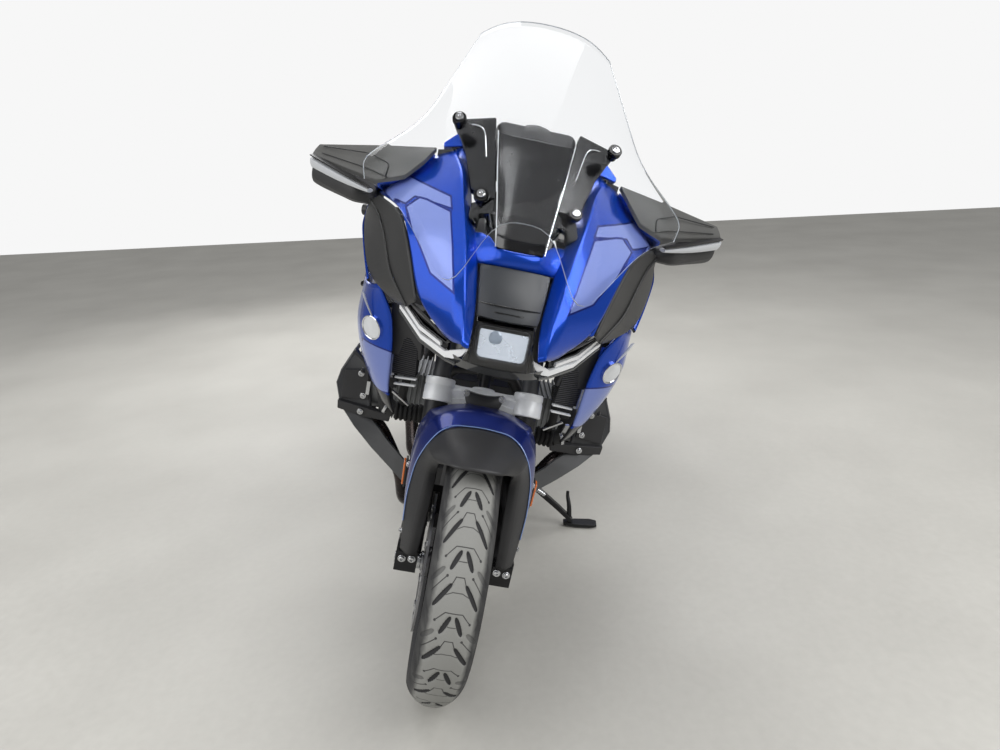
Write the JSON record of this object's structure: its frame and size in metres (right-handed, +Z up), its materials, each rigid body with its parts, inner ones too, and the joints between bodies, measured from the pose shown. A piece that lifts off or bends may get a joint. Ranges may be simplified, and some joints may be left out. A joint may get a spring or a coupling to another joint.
{
  "type": "touring motorcycle",
  "caption": "Touring motorcycle leaning on its side stand, with turning wheels, steering, folding stands, a tall clear windscreen and opening side panniers.",
  "frame": {"origin": "on the floor below the middle of the outline as it stands on its side stand", "axes": "+X forward along the wheelbase, +Y to its left, the side that it leans to, +Z up from the floor"},
  "size_m": [2.2138, 1.082, 1.5056],
  "materials": {
    "front_tyre": "dusty tread, matt side walls",
    "front_rim": "satin black casting",
    "front_discs": "ground steel",
    "rear_tyre": "matt",
    "rear_rim": "satin black casting",
    "rear_disc": "ground steel",
    "front_axle": "machined",
    "fork_legs": "satin black",
    "front_calipers": "gloss black",
    "fork_bridge": "silver painted casting",
    "fork_tubes": "polished tube and cast yoke",
    "fender_panel": "grained",
    "front_fender": "metallic clear-coated",
    "handlebar": "satin black",
    "grips": "ribbed",
    "frame": "satin black",
    "rear_subframe": "satin black",
    "fairing_stays": "satin black",
    "suspension_arm": "satin black",
    "engine": "dark cast",
    "cylinders": "cast with fins",
    "cylinder_guards": "grained",
    "belly_pan": "grained",
    "radiators": "black core",
    "exhaust_headers": "heat darkened",
    "silencer": "brushed and polished",
    "nose_frame": "satin",
    "nose_fairing": "metallic clear-coated",
    "side_infills": "satin",
    "side_panels": "metallic clear-coated",
    "lower_fairings": "two-tone metallic",
    "radar_cover": "satin black",
    "headlight": "dark housing with bright bowls",
    "headlight_lens": "clear",
    "light_strips": "white diffusers",
    "windscreen": "clear",
    "screen_mounts": "gloss black",
    "cockpit": "satin",
    "mirror_housings": "satin",
    "mirror_glasses": "mirror",
    "tank_cover": "metallic clear-coated",
    "rider_seat": "stitched cover",
    "pillion_seat": "stitched cover",
    "tail_fairing": "metallic clear-coated",
    "luggage_rack": "satin",
    "tail_light": "red lens",
    "plate_holder": "grained",
    "swingarm": "satin casting",
    "footrests": "cast with rubber",
    "stand_bracket": "satin black",
    "pannier_bodies": "grained",
    "pannier_lid_left": "metallic clear-coated",
    "pannier_lid_right": "metallic clear-coated",
    "side_stand": "satin black with worn edge",
    "centre_stand": "satin black"
  },
  "bodies": {
    "chassis": {"frame": "frame", "rear_subframe": "rear_subframe", "fairing_stays": "fairing_stays", "suspension_arm": "suspension_arm", "engine": "engine", "cylinders": "cylinders", "cylinder_guards": "cylinder_guards", "belly_pan": "belly_pan", "radiators": "radiators", "exhaust_headers": "exhaust_headers", "silencer": "silencer", "nose_frame": "nose_frame", "nose_fairing": "nose_fairing", "side_infills": "side_infills", "side_panels": "side_panels", "lower_fairings": "lower_fairings", "radar_cover": "radar_cover", "headlight": "headlight", "headlight_lens": "headlight_lens", "light_strips": "light_strips", "windscreen": "windscreen", "screen_mounts": "screen_mounts", "cockpit": "cockpit", "mirror_housings": "mirror_housings", "mirror_glasses": "mirror_glasses", "tank_cover": "tank_cover", "rider_seat": "rider_seat", "pillion_seat": "pillion_seat", "tail_fairing": "tail_fairing", "luggage_rack": "luggage_rack", "tail_light": "tail_light", "plate_holder": "plate_holder", "swingarm": "swingarm", "footrests": "footrests", "stand_bracket": "stand_bracket", "pannier_bodies": "pannier_bodies"},
    "steering": {"front_axle": "front_axle", "fork_legs": "fork_legs", "front_calipers": "front_calipers", "fork_bridge": "fork_bridge", "fork_tubes": "fork_tubes", "fender_panel": "fender_panel", "front_fender": "front_fender", "handlebar": "handlebar", "grips": "grips"},
    "front_wheel": {"front_tyre": "front_tyre", "front_rim": "front_rim", "front_discs": "front_discs"},
    "rear_wheel": {"rear_tyre": "rear_tyre", "rear_rim": "rear_rim", "rear_disc": "rear_disc"},
    "side_stand": {"side_stand": "side_stand"},
    "centre_stand": {"centre_stand": "centre_stand"},
    "pannier_lid_left": {"pannier_lid_left": "pannier_lid_left"},
    "pannier_lid_right": {"pannier_lid_right": "pannier_lid_right"}
  },
  "joints": [
    {"name": "steering_turn", "type": "hinge", "parent": "chassis", "child": "steering", "pos_m": [0.58762, -0.03565, 0.67921], "axis": [-0.4321, 0.2182, 0.875], "range_deg": [-28, 28]},
    {"name": "front_wheel_spin", "type": "hinge", "parent": "steering", "child": "front_wheel", "pos_m": [0.807, -0.13195, 0.29299], "axis": [0, 0.9703, -0.2419], "continuous": true},
    {"name": "rear_wheel_spin", "type": "hinge", "parent": "chassis", "child": "rear_wheel", "pos_m": [-0.693, -0.12675, 0.31384], "axis": [0, 0.9703, -0.2419], "continuous": true},
    {"name": "side_stand_fold", "type": "hinge", "parent": "chassis", "child": "side_stand", "pos_m": [0.093, 0.03499, 0.1937], "axis": [0, 0.6756, 0.7373], "range_deg": [0, 88]},
    {"name": "centre_stand_drop", "type": "hinge", "parent": "chassis", "child": "centre_stand", "pos_m": [-0.118, -0.15662, 0.19406], "axis": [0, -0.9703, 0.2419], "range_deg": [0, 95], "stiffness_Nm_per_rad": 5, "springref_deg": -171.89},
    {"name": "left_lid_open", "type": "hinge", "parent": "chassis", "child": "pannier_lid_left", "pos_m": [0.057, 0.29295, 0.34993], "axis": [-1, 0, 0], "range_deg": [0, 50]},
    {"name": "right_lid_open", "type": "hinge", "parent": "chassis", "child": "pannier_lid_right", "pos_m": [0.057, -0.48038, 0.54274], "axis": [1, 0, 0], "range_deg": [0, 50]}
  ]
}
